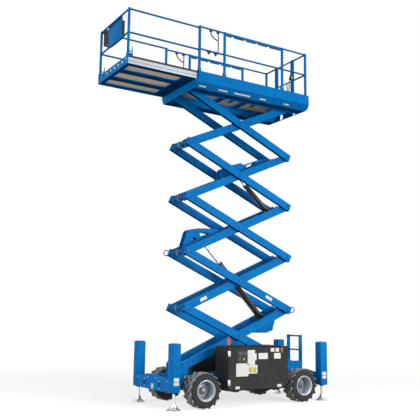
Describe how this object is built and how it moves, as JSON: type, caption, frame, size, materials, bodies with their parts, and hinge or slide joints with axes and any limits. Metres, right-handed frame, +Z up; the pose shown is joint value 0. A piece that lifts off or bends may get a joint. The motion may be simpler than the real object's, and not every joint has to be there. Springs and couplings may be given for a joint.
{
  "type": "rough-terrain scissor lift",
  "caption": "Self-propelled slab scissor lift with raised platform, roll-out deck, guardrails, four outrigger legs and lug tyres.",
  "frame": {"origin": "on the ground under the middle of the machine's whole length and width, with the roll-out deck out", "axes": "+X towards the steered front wheels and the roll-out deck, +Y to the left side, +Z up"},
  "size_m": [4.69, 1.75, 7.372],
  "materials": {
    "blue_paint": "semi-gloss blue powder coat",
    "black_paint": "satin black powder coat",
    "pin_steel": "machined steel pins",
    "rod_chrome": "chromed cylinder rod",
    "leg_zinc": "zinc plated leg and foot",
    "tyre_rubber": "dusty tyre rubber",
    "rim_paint": "pale grey painted rim",
    "deck_board": "tan phenolic-faced plywood deck board",
    "axle_iron": "painted axle casting",
    "slide_nylon": "wear block",
    "amber_lens": "amber beacon lens",
    "control_plastic": "control box housing",
    "engine_grey": "plain engine block"
  },
  "bodies": {
    "chassis": {"chassis_frame": "blue_paint", "outrigger_beam_front": "blue_paint", "outrigger_beam_rear": "blue_paint", "front_axle": "axle_iron", "rear_axle": "axle_iron", "side_cover_left": "black_paint", "side_cover_right": "black_paint", "engine_block": "engine_grey", "beacon": "amber_lens", "ladder": "blue_paint"},
    "inner_arms_1": {"inner_frame_1": "blue_paint"},
    "outer_arms_1": {"outer_frame_1": "blue_paint", "pivot_pins_1": "pin_steel", "rollers_lower": "slide_nylon"},
    "inner_arms_2": {"inner_frame_2": "blue_paint"},
    "outer_arms_2": {"outer_frame_2": "blue_paint", "pivot_pins_2": "pin_steel"},
    "inner_arms_3": {"inner_frame_3": "blue_paint"},
    "outer_arms_3": {"outer_frame_3": "blue_paint", "pivot_pins_3": "pin_steel"},
    "inner_arms_4": {"inner_frame_4": "blue_paint"},
    "outer_arms_4": {"outer_frame_4": "blue_paint", "pivot_pins_4": "pin_steel"},
    "inner_arms_5": {"inner_frame_5": "blue_paint", "pivot_pin_top": "pin_steel", "rollers_upper": "slide_nylon"},
    "outer_arms_5": {"outer_frame_5": "blue_paint", "pivot_pins_5": "pin_steel"},
    "platform": {"deck_frame": "blue_paint", "deck_floor": "deck_board", "main_guardrail": "blue_paint"},
    "lift_barrel_lower": {"lift_barrel_lower": "black_paint"},
    "lift_rod_lower": {"lift_rod_lower": "rod_chrome"},
    "lift_barrel_upper": {"lift_barrel_upper": "black_paint"},
    "lift_rod_upper": {"lift_rod_upper": "rod_chrome"},
    "knuckle_left": {"knuckle_left": "axle_iron"},
    "knuckle_right": {"knuckle_right": "axle_iron"},
    "tie_rod": {"tie_rod": "axle_iron"},
    "wheel_front_left": {"tyre_front_left": "tyre_rubber", "rim_front_left": "rim_paint"},
    "wheel_front_right": {"tyre_front_right": "tyre_rubber", "rim_front_right": "rim_paint"},
    "wheel_rear_left": {"tyre_rear_left": "tyre_rubber", "rim_rear_left": "rim_paint"},
    "wheel_rear_right": {"tyre_rear_right": "tyre_rubber", "rim_rear_right": "rim_paint"},
    "outrigger_leg_front_left": {"outrigger_leg_front_left": "leg_zinc"},
    "outrigger_leg_front_right": {"outrigger_leg_front_right": "leg_zinc"},
    "outrigger_leg_rear_left": {"outrigger_leg_rear_left": "leg_zinc"},
    "outrigger_leg_rear_right": {"outrigger_leg_rear_right": "leg_zinc"},
    "side_door_left": {"side_door_left": "black_paint"},
    "side_door_right": {"side_door_right": "black_paint"},
    "entry_gate": {"entry_gate": "blue_paint"},
    "extension": {"extension_frame": "blue_paint", "extension_floor": "deck_board", "extension_guardrail": "blue_paint", "console_tray": "control_plastic", "control_box": "control_plastic"}
  },
  "joints": [
    {"name": "lift", "type": "hinge", "parent": "chassis", "child": "inner_arms_1", "pos_m": [0.7925, 0, 0.735], "axis": [0, 1, 0], "range_deg": [-20.41, 28.09]},
    {"name": "cross_1", "type": "hinge", "parent": "inner_arms_1", "child": "outer_arms_1", "pos_m": [-0.4343, 0, 1.279], "axis": [0, 1, 0], "range_deg": [-56.17, 40.83]},
    {"name": "tip_1", "type": "hinge", "parent": "outer_arms_1", "child": "inner_arms_2", "pos_m": [0.7925, 0, 1.823], "axis": [0, 1, 0], "range_deg": [-40.83, 56.17]},
    {"name": "cross_2", "type": "hinge", "parent": "inner_arms_2", "child": "outer_arms_2", "pos_m": [-0.4343, 0, 2.367], "axis": [0, 1, 0], "range_deg": [-56.17, 40.83]},
    {"name": "tip_2", "type": "hinge", "parent": "outer_arms_2", "child": "inner_arms_3", "pos_m": [0.7925, 0, 2.911], "axis": [0, 1, 0], "range_deg": [-40.83, 56.17]},
    {"name": "cross_3", "type": "hinge", "parent": "inner_arms_3", "child": "outer_arms_3", "pos_m": [-0.4343, 0, 3.455], "axis": [0, 1, 0], "range_deg": [-56.17, 40.83]},
    {"name": "tip_3", "type": "hinge", "parent": "outer_arms_3", "child": "inner_arms_4", "pos_m": [0.7925, 0, 3.999], "axis": [0, 1, 0], "range_deg": [-40.83, 56.17]},
    {"name": "cross_4", "type": "hinge", "parent": "inner_arms_4", "child": "outer_arms_4", "pos_m": [-0.4343, 0, 4.543], "axis": [0, 1, 0], "range_deg": [-56.17, 40.83]},
    {"name": "tip_4", "type": "hinge", "parent": "outer_arms_4", "child": "inner_arms_5", "pos_m": [0.7925, 0, 5.087], "axis": [0, 1, 0], "range_deg": [-40.83, 56.17]},
    {"name": "cross_5", "type": "hinge", "parent": "inner_arms_5", "child": "outer_arms_5", "pos_m": [-0.4343, 0, 5.631], "axis": [0, 1, 0], "range_deg": [-56.17, 40.83]},
    {"name": "platform_pivot", "type": "hinge", "parent": "outer_arms_5", "child": "platform", "pos_m": [0.7925, 0, 6.175], "axis": [0, 1, 0], "range_deg": [-20.41, 28.09]},
    {"name": "cylinder_swing_lower", "type": "hinge", "parent": "inner_arms_1", "child": "lift_barrel_lower", "pos_m": [-1.40054, 0, 1.44602], "axis": [0, 1, 0], "range_deg": [-53.36, 38.79]},
    {"name": "cylinder_stroke_lower", "type": "slide", "parent": "lift_barrel_lower", "child": "lift_rod_lower", "axis": [0.6965, 0, 0.7176], "range_m": [-0.64133, 0.88236]},
    {"name": "cylinder_swing_upper", "type": "hinge", "parent": "inner_arms_3", "child": "lift_barrel_upper", "pos_m": [-1.4371, 0, 3.87014], "axis": [0, 1, 0], "range_deg": [-56.17, 40.83]},
    {"name": "cylinder_stroke_upper", "type": "slide", "parent": "lift_barrel_upper", "child": "lift_rod_upper", "axis": [0.7614, 0, 0.6483], "range_m": [-0.24941, 0.34315]},
    {"name": "steer", "type": "hinge", "parent": "chassis", "child": "knuckle_left", "pos_m": [0.6575, 0.53, 0.33], "axis": [0, 0, 1], "range_deg": [-26, 26]},
    {"name": "steer_right", "type": "hinge", "parent": "chassis", "child": "knuckle_right", "pos_m": [0.6575, -0.53, 0.33], "axis": [0, 0, 1], "range_deg": [-26, 26]},
    {"name": "tie_rod_pivot", "type": "hinge", "parent": "knuckle_left", "child": "tie_rod", "pos_m": [0.4975, 0.53, 0.33], "axis": [0, 0, 1], "range_deg": [-26, 26]},
    {"name": "roll_front_left", "type": "hinge", "parent": "knuckle_left", "child": "wheel_front_left", "pos_m": [0.6575, 0.7225, 0.33], "axis": [0, 1, 0], "continuous": true},
    {"name": "roll_front_right", "type": "hinge", "parent": "knuckle_right", "child": "wheel_front_right", "pos_m": [0.6575, -0.7225, 0.33], "axis": [0, 1, 0], "continuous": true},
    {"name": "roll_rear_left", "type": "hinge", "parent": "chassis", "child": "wheel_rear_left", "pos_m": [-1.6325, 0.7225, 0.33], "axis": [0, 1, 0], "continuous": true},
    {"name": "roll_rear_right", "type": "hinge", "parent": "chassis", "child": "wheel_rear_right", "pos_m": [-1.6325, -0.7225, 0.33], "axis": [0, 1, 0], "continuous": true},
    {"name": "leg_front_left", "type": "slide", "parent": "chassis", "child": "outrigger_leg_front_left", "axis": [0, 0, 1], "range_m": [-0.2, 0.26]},
    {"name": "leg_front_right", "type": "slide", "parent": "chassis", "child": "outrigger_leg_front_right", "axis": [0, 0, 1], "range_m": [-0.2, 0.26]},
    {"name": "leg_rear_left", "type": "slide", "parent": "chassis", "child": "outrigger_leg_rear_left", "axis": [0, 0, 1], "range_m": [-0.2, 0.26]},
    {"name": "leg_rear_right", "type": "slide", "parent": "chassis", "child": "outrigger_leg_rear_right", "axis": [0, 0, 1], "range_m": [-0.2, 0.26]},
    {"name": "door_left", "type": "hinge", "parent": "chassis", "child": "side_door_left", "pos_m": [0.1855, 0.858, 0.7], "axis": [0, 0, -1], "range_deg": [0, 95]},
    {"name": "door_right", "type": "hinge", "parent": "chassis", "child": "side_door_right", "pos_m": [-0.2895, -0.858, 0.7], "axis": [0, 0, 1], "range_deg": [0, 95]},
    {"name": "gate", "type": "hinge", "parent": "platform", "child": "entry_gate", "pos_m": [-1.8425, -0.31, 6.8], "axis": [0, 0, -1], "range_deg": [0, 90]},
    {"name": "deck_extension", "type": "slide", "parent": "platform", "child": "extension", "axis": [1, 0, 0], "range_m": [-1.45, 0]}
  ],
  "couplings": [
    {"joint": "cross_1", "follows": "lift", "ratio": -2},
    {"joint": "tip_1", "follows": "lift", "ratio": 2},
    {"joint": "cross_2", "follows": "lift", "ratio": -2},
    {"joint": "tip_2", "follows": "lift", "ratio": 2},
    {"joint": "cross_3", "follows": "lift", "ratio": -2},
    {"joint": "tip_3", "follows": "lift", "ratio": 2},
    {"joint": "cross_4", "follows": "lift", "ratio": -2},
    {"joint": "tip_4", "follows": "lift", "ratio": 2},
    {"joint": "cross_5", "follows": "lift", "ratio": -2},
    {"joint": "platform_pivot", "follows": "lift", "ratio": 1},
    {"joint": "cylinder_swing_lower", "follows": "lift", "ratio": -1.9},
    {"joint": "cylinder_stroke_lower", "follows": "lift", "m_per_rad": 1.8},
    {"joint": "cylinder_swing_upper", "follows": "lift", "ratio": -2},
    {"joint": "cylinder_stroke_upper", "follows": "lift", "m_per_rad": 0.7},
    {"joint": "steer_right", "follows": "steer", "ratio": 1},
    {"joint": "tie_rod_pivot", "follows": "steer", "ratio": -1}
  ]
}
